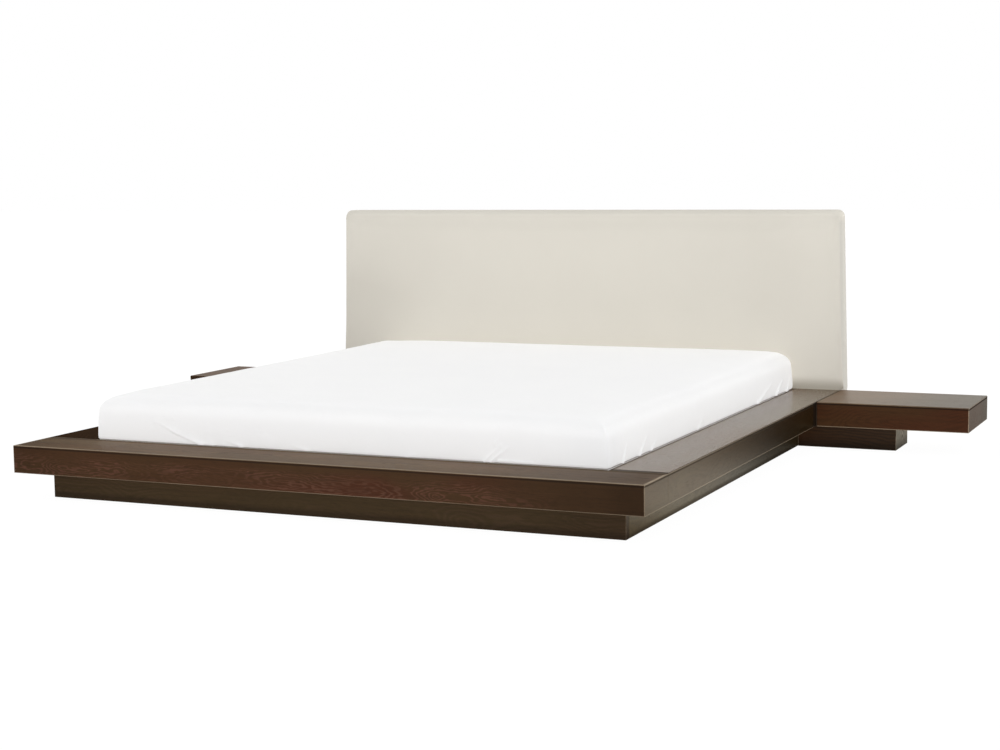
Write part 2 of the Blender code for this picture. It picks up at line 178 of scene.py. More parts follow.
veneerLook = {
    "early": (0.070, 0.0340, 0.0150), "late": (0.037, 0.0178, 0.0085),
    "stain": (0.078, 0.0250, 0.0125),  # redder patches
    "flame": (0.118, 0.050, 0.030),  # the figure where it stands out light and red
    "paintedArrisHighlight": (0.30, 0.235, 0.165),  # painted highlight along the arrises
    # the first colour here is that of the joints and of the painted shadow lines
    "jointAndShadowTone": (0.010, 0.006, 0.004), "fleck": (0.034, 0.0170, 0.0085), "pore": (0.016, 0.009, 0.006),
    "lineDulling": 0.5,  # how much duller the joints and the painted shadow lines are than the board
}

endGrainLook = {
    "heart": (0.90, 0.02),  # the middle of the arcs, in y and z
    "flat": 0.6, "wiggle": 0.012, "rings": 62, "tones": ((0.040, 0.029, 0.020), (0.26, 0.228, 0.175)),
    "skin": (0.0015, 0.0006),  # how far from the cut face it begins and is complete
}


def boxAround(*names):
    corners = [corner for name in names for corner in cornersOf(name)]
    return [Vector(pick(corner[axis] for corner in corners) for axis in range(3)) for pick in (min, max)]


def toArris(coords, box):
    # distance to the nearest edge of a box, for points on its faces
    away = []
    for axis, value in enumerate(coords):
        middle, half = (box[0][axis] + box[1][axis]) / 2, (box[1][axis] - box[0][axis]) / 2
        away.append(((value - middle).size() - half).size())
    largest = away[0].atLeast(away[1]).atLeast(away[2])
    smallest = away[0].atMost(away[1]).atMost(away[2])
    return away[0] + away[1] + away[2] - largest - smallest


veneerDefaults = {
    "along": "x",
    "rings": 118,  # growth rings per metre
    "seed": 0.0,
    "wander": (0.05, 0.03),  # how far the figure strays sideways and in depth
    "toneAndPaintedLight": (1, 1, 1), "lines": 1.0, "figure": "late", "sharp": (0.25, 0.95), "wiggle": 0.012,
    "ripple": (18, 34),  # waves of the figure per metre, along the grain and across it
    "flow": 2.9,  # the same for the slow drift of its middle
    "streaks": 0.30, "red": 0.5,
    "redFades": (),  # places along the grain between which the redder patches change, and their two shares
    # the last two of these give the share and the width of the painted highlight along the arrises
    "relief": 0.6, "rough": 0.36, "gloss": 0.5, "arrisHighlightShare": 0.4, "arrisHighlightWide": 0.0021,
    "shine": (1.0, 0.97, 0.92),
    "seamsAndShadows": (),  # dark lines, joints and painted shadow: axis, place, half width and strength
    "plain": (),  # axis and places between which the figure fades out
    "endGrain": None,  # the place of a cut end
    "shade": (),  # painted shade: axis and places between which the board turns darker, and how dark
}


def darkOak(name, **look):
    # oak veneer with its grain along one axis; heart is where the middle of the figure runs
    look = {**veneerDefaults, **look}
    seed, heart, wander = look["seed"], look["heart"], look["wander"]
    bench = Bench(name)
    x, y, z = bench.split(bench.place())
    bothSides = (x.size(), y, z)
    place = {"x": x, "y": y, "z": z, "out": x.size()}
    spot = {"x": (x, y, z), "y": (y, x.size(), z), "z": (z, x, y)}[look["along"]]
    run, across, deep = spot
    drift = bench.streaks(spot, look["flow"], 2, seed, 1.5, 0.5, 1)
    driftA, driftB, driftC = bench.node("SeparateColor", None, {0: drift}, "all")
    ripple = bench.streaks(spot, *look["ripple"], seed) - 0.5
    side = across - heart[0] + (driftA - 0.5) * (wander[0] * 4)
    depth = deep - heart[1] + (driftB - 0.5) * (wander[1] * 4)
    radius = (side * side + depth * depth).root() + ripple * look["wiggle"]
    phase = radius * look["rings"] + driftC * 4
    ring = phase.pingPong(0.5) * 2
    patch = bench.streaks(spot, 3.3, 13, seed * 2, 1, 0.5)
    line = bench.ease(ring, *look["sharp"]) * bench.ease(patch, 0.34, 0.58, 0.30, 1)
    for axis, start, end in look["plain"]:
        line = line * bench.ease(place[axis], start, end, 1, 0)
    pore = bench.ease(bench.streaks(spot, 30, 750, seed), 0.55, 0.70)
    fleck = bench.streaks(spot, 4, 110, seed, 3)
    cloud = bench.streaks(spot, 1.7, 7, -seed, rough=0.5)
    red = bench.ease(cloud, 0.42, 0.60) * look["red"]
    for fade in look["redFades"]:
        red = red * bench.ease(run, *fade)
    wood = bench.mix(red, veneerLook["early"], veneerLook["stain"])
    wood = bench.mix(line * look["lines"], wood, veneerLook[look["figure"]])
    wood = bench.mix(bench.ease(fleck, 0.35, 0.75) * look["streaks"], wood, veneerLook["fleck"])
    wood = bench.mix(pore * 0.35, wood, veneerLook["pore"])
    # the board's tint, which holds painted light and shade as well as its tone
    wood = bench.mix(1, wood, look["toneAndPaintedLight"], "MULTIPLY")
    if look["endGrain"]:
        cut = endGrainLook
        fromY, fromZ = y - cut["heart"][0], z - cut["heart"][1]
        arc = (fromY * fromY + fromZ * fromZ * cut["flat"]).root() + ripple * cut["wiggle"]
        arcs = bench.ease((arc * cut["rings"]).pingPong(0.5) * 2, 0.25, 0.75)
        onEnd = bench.ease(place["out"], *(look["endGrain"] - skin for skin in cut["skin"]))
        wood = bench.mix(onEnd, wood, bench.mix(arcs, *cut["tones"]))
    # painted shade, darkening the board between two places
    for axis, start, end, dark in look["shade"]:
        darker = bench.mix(1, wood, (dark,) * 3, "MULTIPLY")
        wood = bench.mix(bench.ease(place[axis], start, end), wood, darker)
    # painted highlight: a patchy light band along the arrises, for the light they catch
    wide = look["arrisHighlightWide"]
    edge = toArris(bothSides, look["box"]) + (fleck - 0.5) * wide * 0.6
    paintedArrisHighlight = bench.ease(edge, wide * 0.14, wide, 1, 0)
    wood = bench.mix(paintedArrisHighlight * (0.2 + cloud) * look["arrisHighlightShare"], wood, veneerLook["paintedArrisHighlight"])
    dull = 0
    # dark joints, and painted shadow where the boards meet the sheet, the shelf and the floor and just under
    # the top arrises
    for axis, middle, wide, strength in look["seamsAndShadows"]:
        seamAndShadow = bench.ease((place[axis] - middle).size(), wide * 0.3, wide, strength, 0)
        wood = bench.mix(seamAndShadow, wood, veneerLook["jointAndShadowTone"])
        dull = dull + seamAndShadow * veneerLook["lineDulling"]
    sheen = look["rough"] + line * (look["lines"] * 0.04) + pore * 0.10 + (cloud - 0.5) * 0.06 + dull
    relief = bench.bump(line * -0.6 - pore * 0.8, 0.00012, look["relief"])
    bench.feed(bench.shader.inputs["Specular Tint"], look["shine"])
    return bench.finish(colour=wood, roughness=sheen, normal=relief, gloss=look["gloss"])


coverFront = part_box("headboard_cover")[0][1]

leatherLook = {
    "turn": (coverFront + 0.004, coverFront + 0.012),  # the front turns into the sides between these
    "tones": ((0.530, 0.505, 0.450), (0.680, 0.651, 0.586)), "base": 0.26, "clouds": 0.04,
    # painted light and shade: axis, two places and the change of tone from the one to the other
    "lighter": (("x", 0.70, 1.06, 0, 0.225), ("z", 0.66, 0.84, 0, 0.10), ("z", 0.845, 0.870, 0, 0.45)),
    "darkerLow": (("x", -1.09, -0.62, 0.275, 0), ("x", 0.72, 0.98, 0.18, 0.05)), "low": (0.46, 0.72),
    "crease": (0.50, 0.47, 0.40),
    "paintedDeckShade": (0.25, 0.225, 0.18),  # painted shade along the foot of the front, just above the rails
    # painted shade: the band just above the rails, and the darker sides
    "paintedDeckShadeOver": (0.004, 0.052), "sides": (0.89, 0.90, 0.92),
}


def fauxLeather():
    look = leatherLook
    bench = Bench("beigeFauxLeather")
    spot = bench.place()
    warp = bench.grain(spot, 260, 2, 0.5, 1)
    bending = {0: warp, 1: (0.0016,) * 3, 2: spot}
    bent = bench.node("VectorMath", {"operation": "MULTIPLY_ADD"}, bending)
    pebble = bench.cells(bent, 640, "SMOOTH_F1")
    fine = bench.grain(spot, 2200, 2, 0.6)
    broad = bench.grain(spot, 5, 3, 0.5)
    crease = bench.ease(pebble, 0.05, 0.5)
    x, y, z = bench.split(spot)
    place = {"x": x, "z": z}
    # painted light and shade: lighter towards its right end and its top, darker low down at both ends
    tone = look["base"] + bench.ease(broad, 0.3, 0.7) * look["clouds"]
    for axis, start, end, first, last in look["lighter"]:
        tone = tone + bench.ease(place[axis], start, end, first, last)
    low = bench.ease(z, *look["low"], 1, 0)
    for axis, start, end, first, last in look["darkerLow"]:
        tone = tone - low * bench.ease(place[axis], start, end, first, last)
    cream = bench.mix(tone, *look["tones"])
    cream = bench.mix((1 - crease) * 0.12, cream, look["crease"])
    inFront = bench.ease(y, *look["turn"], 1, 0)
    # painted shade: a dark band along the foot of the front, just above the rails
    paintedDeckShade = bench.ease(z, *(deck + over for over in look["paintedDeckShadeOver"]), 1, 0) * inFront
    cream = bench.mix(paintedDeckShade * 0.7, cream, look["paintedDeckShade"])
    # painted shade: below the top, the sides are darker than the front
    shadedSide = (1 - inFront) * bench.ease(z, 0.82, 0.85, 1, 0)
    cream = bench.mix(shadedSide * 0.9, cream, bench.mix(1, cream, look["sides"], "MULTIPLY"))
    relief = bench.bump(crease + fine * 0.25, 0.00022, 0.55)
    relief = bench.bump(broad, 0.002, 0.06, relief)
    return bench.finish(colour=cream, roughness=0.46 + fine * 0.10, normal=relief, gloss=0.16)


cottonLook = {
    "thread": 0.0011, "tones": ((0.865, 0.865, 0.870), (0.885, 0.885, 0.885)),
    # painted shade of the sides
    "sides": (0.815, 0.820, 0.828),
    "shadedSidesOver": (0.25, 0.315),  # heights from which the sides, with their painted shade, turn into the top
    # painted shadow where it meets the rails
    "seamAndShadow": (0.16, 0.14, 0.12),
    "seamShadowOver": (0.0020, 0.0034),  # how far above the rails it fades
    "seamShadowUnder": 0.0025,
}


def sheetCotton():
    look = cottonLook
    bench = Bench("whiteCotton")
    x, y, z = bench.split(bench.place())
    thread = 2 * pi / look["thread"]
    warps = [(value * thread).wave() for value in (x, y, z)]
    weave = warps[0] * warps[1] + warps[1] * warps[2] + warps[0] * warps[2]
    slack = bench.grain(bench.place(turn=(0.2, 0.5, 0.6), size=(1, 3.2, 1)), 9, 3, 0.5)
    crumple = bench.grain(bench.place(turn=(0.1, -0.7, 0.4), size=(1, 5, 2)), 22, 3, 0.55)
    pucker = bench.ease(slack, 0.52, 0.70) * 0.8 + bench.ease(crumple, 0.56, 0.78) * 0.35
    tone = bench.grain(bench.place(), 4, 2, 0.5)
    white = bench.mix(tone, *look["tones"])
    # painted shade: a little greyer down its sides, most of all at the right foot corner
    corner = bench.ease(x, 0.70, 0.88) * bench.ease(y, -0.80, -0.93) * 0.5
    white = bench.mix(bench.ease(z, *look["shadedSidesOver"], 1, 0) * (corner + 0.5), white, look["sides"])
    # painted shadow: a dark line where it meets the rails, and clean below them
    seamAndShadow = bench.ease(z, *(deck + over for over in look["seamShadowOver"]), 0.85, 0)
    seamAndShadow = seamAndShadow * bench.ease(z, deck - look["seamShadowUnder"], deck)
    white = bench.mix(seamAndShadow, white, look["seamAndShadow"])
    relief = bench.bump(pucker, 0.0022, 0.5)
    relief = bench.bump(weave, 0.00006, 0.35, relief)
    return bench.finish(colour=white, roughness=0.88, normal=relief, sheen=0.12, gloss=0.3)


def mattressTicking():
    bench = Bench("mattressTicking")
    x, y, z = bench.split(bench.place())
    diamond = pi / 0.09
    quilt = ((x + y) * diamond).wave() * ((x - y) * diamond).wave()
    stitch = bench.ease(quilt * quilt, 0.0, 0.05)
    knit = bench.grain(bench.place(), 900, 2, 0.6)
    cloth = bench.mix(knit, (0.70, 0.69, 0.66), (0.80, 0.79, 0.77))
    cloth = bench.mix((1 - stitch) * 0.4, cloth, (0.55, 0.54, 0.51))
    relief = bench.bump(stitch + knit * 0.06, 0.0025, 0.7)
    return bench.finish(colour=cloth, roughness=0.9, normal=relief, sheen=0.2)


def softwood(name, along, seed, pale=(0.62, 0.42, 0.235), dark=(0.42, 0.235, 0.105)):
    bench = Bench(name)
    x, y, z = bench.split(bench.place())
    spot = {"x": (x, y, z), "y": (y, x, z), "z": (z, x, y)}[along]
    run, across, deep = spot
    flow = bench.streaks(spot, 1.1, 5, seed, rough=0.5) - 0.5
    knots = bench.cells(bench.join(run * 2.2 + seed, across * 9, deep * 9), 1)
    bend = bench.ease(knots, 0.0, 0.42, 1, 0)
    ring = ((across + flow * 0.05 + bend * 0.028 + deep * 0.7) * 150).pingPong(0.5) * 2
    fibre = bench.streaks(spot, 14, 500)
    wood = bench.mix(bench.ease(ring, 0.35, 1.0) * 0.75, pale, dark)
    wood = bench.mix(fibre * 0.30, wood, (0.50, 0.31, 0.16))
    wood = bench.mix(bench.ease(knots, 0.05, 0.11, 1, 0) * 0.85, wood, (0.16, 0.07, 0.03))
    relief = bench.bump(ring * 0.5 + fibre, 0.0002, 0.5)
    return bench.finish(colour=wood, roughness=0.56 + fibre * 0.16, normal=relief, gloss=0.35)


def platedSteel():
    bench = Bench("zincPlatedSteel")
    spangle = bench.cells(bench.place(), 260)
    brushed = bench.grain(bench.place(size=(1, 1, 30)), 120, 3, 0.6)
    scuff = bench.grain(bench.place(), 60, 3, 0.6)
    colour = bench.mix(spangle, (0.56, 0.57, 0.59), (0.68, 0.69, 0.70))
    colour = bench.mix(bench.ease(scuff, 0.55, 0.75) * 0.3, colour, (0.40, 0.40, 0.41))
    rough = 0.30 + brushed * 0.12 + scuff * 0.10
    relief = bench.bump(brushed + scuff, 0.00005, 0.5)
    return bench.finish(colour=colour, roughness=rough, metallic=1.0, normal=relief)


def mouldedPlastic():
    bench = Bench("blackPlastic")
    mottle = bench.grain(bench.place(), 900, 2, 0.6)
    wear = bench.grain(bench.place(), 70, 3, 0.6)
    colour = bench.mix(wear, (0.014, 0.014, 0.015), (0.026, 0.026, 0.027))
    relief = bench.bump(mottle, 0.00008, 0.6)
    return bench.finish(colour=colour, roughness=0.42 + wear * 0.2, normal=relief)


def dustCloth():
    bench = Bench("blackDustCloth")
    fibres = bench.grain(bench.place(size=(1, 1, 3)), 500, 4, 0.75)
    dimple = bench.cells(bench.place(), 420)
    colour = bench.mix(fibres, (0.012, 0.012, 0.013), (0.034, 0.033, 0.033))
    relief = bench.bump(fibres + dimple * 0.7, 0.0003, 0.7)
    return bench.finish(colour=colour, roughness=0.94, normal=relief, sheen=0.15)


def foamLook():
    bench = Bench("upholsteryFoam")
    bubbles = bench.cells(bench.place(), 900)
    patch = bench.grain(bench.place(), 12, 2, 0.5)
    colour = bench.mix(patch, (0.80, 0.72, 0.47), (0.86, 0.79, 0.56))
    colour = bench.mix(bench.ease(bubbles, 0.0, 0.4, 1, 0) * 0.3, colour, (0.58, 0.50, 0.30))
    return bench.finish(colour=colour, roughness=0.95, normal=bench.bump(bubbles, 0.0005, 0.7))


footRail = boxAround("foot_rail_fascia", "foot_rail_top", "foot_rail_end_right")
sideRail = boxAround("side_rail_right_top", "side_rail_right_fascia", "foot_rail_end_right")
plinth = boxAround("plinth_front", "plinth_back", "plinth_left", "plinth_right")
shelf = boxAround("bedside_right_top", "bedside_right_rim", "bedside_right_bottom")
support = boxAround("bedside_right_support")

warm = (1.0, 0.94, 0.83)
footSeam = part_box("foot_rail_top")[1][1]
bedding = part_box("side_rail_right_top")[0][0]
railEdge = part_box("side_rail_right_top")[1][0]

# grain direction, middle of the figure and tone of each veneered board; the tints hold painted light and
# shade as well, lighter on the tops and darker on the parts set back underneath
# of the dark lines, those along the sheet, beside the shelf, at the floor and just under the top arrises are
# painted shadow; the others are joints
veneers = {
    "footFasciaOak": dict(
        heart=(-1.160, 0.112), box=footRail, seed=3.1, wander=(0.050, 0.012), rings=150, flow=3.6,
        toneAndPaintedLight=(0.78, 0.80, 0.80), figure="flame", sharp=(0.42, 0.82), wiggle=0.024, ripple=(13, 62),
        red=0.9, redFades=((-0.35, 0.10, 0.25, 1), (0.45, 0.80, 1, 0)), gloss=0.22, arrisHighlightShare=0.75,
        arrisHighlightWide=0.0030, plain=(("z", 0.138, 0.166), ("x", 0.60, 0.88)),
        seamsAndShadows=(("z", deck - 0.0060, 0.0036, 0.6),),
        shade=(("x", 0.45, 0.95, 0.74), ("x", 0.93, 1.05, 0.78), ("x", -0.80, -1.02, 0.88)),
    ),
    "footTopOak": dict(
        heart=(-1.06, 0.15), box=footRail, seed=7.7, toneAndPaintedLight=(1.95, 2.26, 1.84), streaks=0.8, rough=0.55,
        gloss=0.42, red=0.3, arrisHighlightShare=1.2, arrisHighlightWide=0.010, seamsAndShadows=(("y", footSeam, 0.034, 0.45),),
        shade=(("x", -0.80, -1.02, 0.85), ("x", 0.30, 0.95, 0.76)),
    ),
    "plinthFrontOak": dict(
        heart=(-1.05, 0.03), box=plinth, seed=5.2, toneAndPaintedLight=(0.72, 0.94, 0.98), figure="flame", lines=0.30,
        ripple=(10, 48), red=0.15, gloss=0.22, seamsAndShadows=(("z", 0.0, 0.030, 0.45),),
        shade=(("x", 0.60, 0.99, 0.78), ("x", -0.70, -0.99, 0.86)),
    ),
    "plinthSideOak": dict(
        along="y", heart=(0.96, 0.03), box=plinth, seed=9.4, toneAndPaintedLight=(1, 1.4, 1.2), lines=0.5, red=0.2,
        gloss=0.55, shine=warm, arrisHighlightShare=0.7, seamsAndShadows=(("z", 0.0, 0.020, 0.5),),
        shade=(("y", -0.90, 0.20, 0.30),),
    ),
    "railTopOak": dict(
        along="y", heart=(0.90, 0.08), box=sideRail, seed=2.6, toneAndPaintedLight=(1.45, 1.70, 1.35), lines=0.08,
        relief=0.08, red=0.3, rough=0.26, gloss=0.58,
        seamsAndShadows=(("out", bedding, 0.014, 0.5), ("y", footSeam, 0.028, 0.8), ("out", railEdge, 0.004, 0.5)),
        shine=(0.97, 0.98, 0.92), shade=(("y", -0.30, 0.70, 0.84),),
    ),
    # darker copies for the left side: painted shade
    "shadedLeftTopOak": dict(
        along="y", heart=(0.90, 0.08), box=sideRail, seed=4.9, toneAndPaintedLight=(0.50, 0.60, 0.76), lines=0.7,
        rough=0.7, gloss=0.0,
    ),
    "shadedLeftShelfOak": dict(
        heart=(0.80, 0.12), box=shelf, seed=1.9, toneAndPaintedLight=(1.4, 1.5, 1.4), lines=0.5, rough=0.5, gloss=0.22,
    ),
    "railSideOak": dict(
        along="y", heart=(1.05, 0.12), box=sideRail, seed=8.3, toneAndPaintedLight=(0.81, 0.96, 0.63), lines=0.35,
        relief=0.3, red=0.3, rough=0.30, gloss=0.33, shine=warm, arrisHighlightShare=0.8, arrisHighlightWide=0.0032,
        seamsAndShadows=(("z", deck - 0.0058, 0.0036, 0.55), ("y", shelf[0].y, 0.050, 0.85)),
        shade=(("y", -0.98, 0.30, 0.27),),
    ),
    "shelfTopOak": dict(
        heart=(0.80, 0.12), box=shelf, seed=6.5, toneAndPaintedLight=(1.85, 2.02, 1.50), lines=0.4, streaks=0.5,
        relief=0.3, red=0.3, gloss=0.3, arrisHighlightShare=0, shine=warm, seamsAndShadows=(("out", shelf[0].x, 0.005, 0.9),),
        shade=(("out", 1.20, 1.60, 0.40),),
    ),
    "shelfRimOak": dict(
        heart=(0.72, 0.12), box=shelf, seed=4.4, toneAndPaintedLight=(0.68, 0.62, 0.55), lines=0.35, red=0.7,
        gloss=0.12, arrisHighlightShare=1.1, arrisHighlightWide=0.0036,
        seamsAndShadows=(("out", shelf[0].x, 0.006, 0.9), ("z", shelf[1].z - 0.0064, 0.0040, 0.75)),
        shade=(("y", 0.85, 1.09, 0.62), ("out", 1.6390, 1.6415, 0.88)),
    ),
    "supportOak": dict(
        heart=(0.90, -0.06), box=support, seed=0.7, wander=(0.01, 0.01), toneAndPaintedLight=(0.44, 0.38, 0.30),
        red=0.2, arrisHighlightShare=0.6, endGrain=support[1].x, shade=(("z", 0.05, 0.0, 0.35),),
    ),
}
oak = {name: darkOak(name, **look) for name, look in veneers.items()}
slatSeeds = {"A": 0.0, "B": 3.7, "C": 8.1}
slatWoods = [softwood(f"slatPine{letter}", "x", seed) for letter, seed in slatSeeds.items()]
beamWood = softwood("beamPine", "y", 5.5)
stileWood = softwood("stilePine", "z", 2.2)
plyWood = softwood("birchPlywood", "x", 6.1, (0.64, 0.47, 0.29), (0.52, 0.35, 0.19))
leather, cotton, ticking = fauxLeather(), sheetCotton(), mattressTicking()
steel, plastic, backing, foam = platedSteel(), mouldedPlastic(), dustCloth(), foamLook()
print("finishes mixed")


# Wood, steel and plastic parts kept from the frame


def dress(material, *names):
    for name in names:
        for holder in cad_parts[name].material_slots:
            holder.link = "OBJECT"
            holder.material = material


# the tones of the rail top, the shelf top and the shelf rim on each side; those on the left are darker copies
# with painted shade
sideOaks = {
    "left": ("shadedLeftTopOak", "shadedLeftShelfOak", "shadedLeftTopOak"),
    "right": ("railTopOak", "shelfTopOak", "shelfRimOak"),
}
dress(oak["footFasciaOak"], "foot_rail_fascia", "foot_rail_bottom")
dress(oak["footTopOak"], "foot_rail_top", "foot_rail_inner", "head_rail")
dress(oak["plinthFrontOak"], "plinth_front", "plinth_back")
for side, (railTop, shelfTop, shelfRim) in sideOaks.items():
    sideRailPart, shelfPart = f"side_rail_{side}_", f"bedside_{side}_"
    railSides = [sideRailPart + part for part in ("fascia", "inner", "bottom")]
    dress(oak[railTop], sideRailPart + "top")
    dress(oak["railSideOak"], f"foot_rail_end_{side}", *railSides)
    dress(oak["plinthSideOak"], f"plinth_{side}")
    dress(oak[shelfTop], shelfPart + "top")
    dress(oak[shelfRim], shelfPart + "rim")
    dress(oak["shelfTopOak"], shelfPart + "bottom")
    dress(oak["supportOak"], shelfPart + "support")
    dress(stileWood, f"headboard_stile_{side}")
    dress(steel, f"corner_bracket_foot_{side}", f"corner_bracket_head_{side}")
for number in range(1, 11):
    dress(slatWoods[number * 2 % 3], f"slat_{number:02d}")
for number in (1, 2):
    dress(steel, f"beam_nut_{number}", f"foot_stem_{number}")
    dress(plastic, f"foot_pad_{number}")
dress(beamWood, "centre_beam", "slat_ledger_left", "slat_ledger_right")
dress(plyWood, "headboard_panel")
dress(slatWoods[0], "headboard_rail_top")
dress(slatWoods[1], "headboard_rail_bottom")
print("frame dressed")


# Soft blocks


def makeObject(name, bm, material):
    mesh = bpy.data.meshes.new(name)
    bm.to_mesh(mesh)
    bm.free()
    mesh.materials.append(material)
    made = bpy.data.objects.new(name, mesh)
    bpy.context.scene.collection.objects.link(made)
    return made


def makePiece(name, bm, material, body, smooth=True):
    piece = makeObject(name, bm, material)
    if smooth:
        piece.data.shade_smooth()
    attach(piece, body)
    return piece


def thicken(piece, thickness, offset=-1):
    wall = piece.modifiers.new("thickness", "SOLIDIFY")
    wall.thickness = thickness
    wall.offset = offset


def meshOf(piece):
    bm = bmesh.new()
    bm.from_mesh(piece.data)
    bm.normal_update()
    return bm


def pushOut(bm, distance):
    # moves each point along its normal, by what distance gives for its place
    moves = [vert.normal * distance(vert.co) for vert in bm.verts]
    for vert, move in zip(bm.verts, moves):
        vert.co += move


def dropFaces(bm, isUnwanted):
    # isUnwanted is asked about the middle of each face
    unwanted = [face for face in bm.faces if isUnwanted(face.calc_center_median())]
    bmesh.ops.delete(bm, geom=unwanted, context="FACES")


def sinkFaces(bm, faces, move):
    made = bmesh.ops.extrude_face_region(bm, geom=faces)["geom"]
    bmesh.ops.delete(bm, geom=faces, context="FACES")
    verts = [part for part in made if isinstance(part, bmesh.types.BMVert)]
    bmesh.ops.translate(bm, verts=verts, vec=move)


def within(value):
    # a value held between 0 and 1
    return min(max(value, 0), 1)


def bothEnds(cuts):
    return [*cuts, *(-cut for cut in cuts)]


def cutAcross(bm, axis, place):
    facing = Vector((0, 0, 0))
    facing[axis] = 1
    everything = bm.verts[:] + bm.edges[:] + bm.faces[:]
    bmesh.ops.bisect_plane(bm, geom=everything, dist=1e-6, plane_co=facing * place, plane_no=facing)


def squaredBlock(size, edgeCuts, step):
    # a box in quads, finer towards its edges; a cut is measured from the upper end, or below 0 from the lower
    bm = bmesh.new()
    bmesh.ops.create_cube(bm, size=1)
    bmesh.ops.scale(bm, verts=bm.verts, vec=size)
    for axis in range(3):
        for cut in edgeCuts[axis]:
            cutAcross(bm, axis, size[axis] / 2 - cut if cut > 0 else -size[axis] / 2 - cut)
        spans = [e for e in bm.edges if abs((e.verts[0].co - e.verts[1].co)[axis]) > step * 1.5]
        if spans:
            longest = max(e.calc_length() for e in spans)
            even = [e for e in spans if e.calc_length() > longest * 0.9]
            bmesh.ops.subdivide_edges(bm, edges=even, cuts=round(longest / step) - 1, use_grid_fill=True)
    return bm


def wayOut(place, halfWidth, halfDepth, radius):
    # the way out of a block from a point, which turns round its corners
    overX, overY = abs(place.x) - halfWidth + radius, abs(place.y) - halfDepth + radius
    if overX > 0 and overY > 0:
        reach = hypot(overX, overY)
        return Vector((copysign(overX / reach, place.x), copysign(overY / reach, place.y), 0))
    if overX > overY:
        return Vector((copysign(1, place.x), 0, 0))
    return Vector((0, copysign(1, place.y), 0))


def roundBlock(bm, size, planRadius, topRadius, footRadius, topRadiusAlong):
    # topRadiusAlong rounds the top edges that run along y; the upright corners are rounded last, each point
    # by the size that the block has at its height
    halves = [length / 2 for length in size]
    for vert in bm.verts:
        place, drawnIn = vert.co, (0.0, 0.0)
        for upwards, radii in ((1, (topRadiusAlong, topRadius)), (-1, (footRadius, footRadius))):
            gap = lowered = halves[2] - place.z * upwards
            if gap >= max(radii):
                continue
            for axis, radius in enumerate(radii):
                sideways, rise = radius - halves[axis] + abs(place[axis]), radius - gap
                if sideways > 0 and rise > 0:
                    squeeze = max(sideways, rise) / hypot(sideways, rise)
                    place[axis] = copysign(halves[axis] - radius + sideways * squeeze, place[axis])
                    lowered = max(lowered, radius - rise * squeeze)
            place.z = upwards * (halves[2] - lowered)
            rises = [max(radius - lowered, 0) for radius in radii]
            drawnIn = [radius - (radius**2 - rise**2) ** 0.5 for radius, rise in zip(radii, rises)]
        corner = max(planRadius - sum(drawnIn) / 2, planRadius * 0.6)
        inner = [half - less - corner for half, less in zip(halves, drawnIn)]
        over = [abs(place[axis]) - inner[axis] for axis in (0, 1)]
        if min(over) > 1e-6:
            squeeze = max(over) / hypot(*over)
            for axis in (0, 1):
                place[axis] = copysign(inner[axis] + over[axis] * squeeze, place[axis])


clothLook = {
    "quality": 6, "mass": 0.35, "tension_stiffness": 30, "compression_stiffness": 30,
    "bending_stiffness": 4, "use_pressure": True,
}


def puffUp(piece, isPinned, look, frames=20):
    # cloth under a little pressure, which lets the filling push the faces out; then made permanent
    held = piece.vertex_groups.new(name="held")
    held.add([v.index for v in piece.data.vertices if isPinned(v.co)], 1, "REPLACE")
    cloth = piece.modifiers.new("puff", "CLOTH")
    for key, value in clothLook.items():
        setattr(cloth.settings, key, value)
    cloth.settings.vertex_group_mass = "held"
    cloth.settings.uniform_pressure_force = look["pressure"]
    cloth.settings.shrink_min = -look["slack"]
    cloth.settings.effector_weights.gravity = 0
    cloth.point_cache.frame_start, cloth.point_cache.frame_end = 1, frames
    for number in range(1, frames + 1):
        bpy.context.scene.frame_set(number)
    settled = piece.evaluated_get(bpy.context.evaluated_depsgraph_get())
    places = [v.co.copy() for v in settled.data.vertices]
    piece.modifiers.remove(cloth)
    piece.vertex_groups.clear()
    for vert, place in zip(piece.data.vertices, places):
        step = place - vert.co
        if step.length > look["cap"]:
            step *= look["cap"] / step.length
        vert.co += step
    bpy.context.scene.frame_set(1)


# Mattress and sheet

mattressLook = {
    "step": 0.014,
    "cuts": (0.050, 0.037, 0.025, 0.012, 0.004),  # rows of the mesh, measured from the faces
    "cutsBelow": (-0.049, -0.0445, -0.0421, -0.0399, -0.011, -0.004),  # the fourth lies at the deck
    "planRadius": 0.012, "topRadius": 0.046, "topRadiusAlong": 0.040, "footRadius": 0.011,
    "shrink": 0.0005, "crown": 0.012,
    "bulge": 0.0075,  # how far the sides stand out above the rails
    "swell": (0.3, 0.6),  # how low and how full the bulge is
    "nearFace": 12,  # how closely it keeps to the faces
    "headSpread": 0.75,  # how much further they do so at the head end
    "headSquare": 12,  # how much squarer the right corner is there
    "clearOfDeck": 0.003,  # the height over which the bulge sets in
    "headBulge": 0.013,  # what the head end adds
    "headSwell": (0.25, 0.5),
    "cornerDrop": {-1: 0.007, 1: 0.0},  # how much lower the corners are at the foot and at the head
    "cornerReach": 0.08,
    "cornerIn": 0.2,  # how far they draw in as a share of that
    "pressure": 3.0, "slack": 0.004, "cap": 0.0035,
    "pinnedBelow": 0.1805,  # the part that stands between the rails keeps its shape
}


def swell(climb, lowness, fullness):
    # 0 at both ends of a climb and 1 between them
    return max(sin(pi * climb**lowness), 0) ** fullness


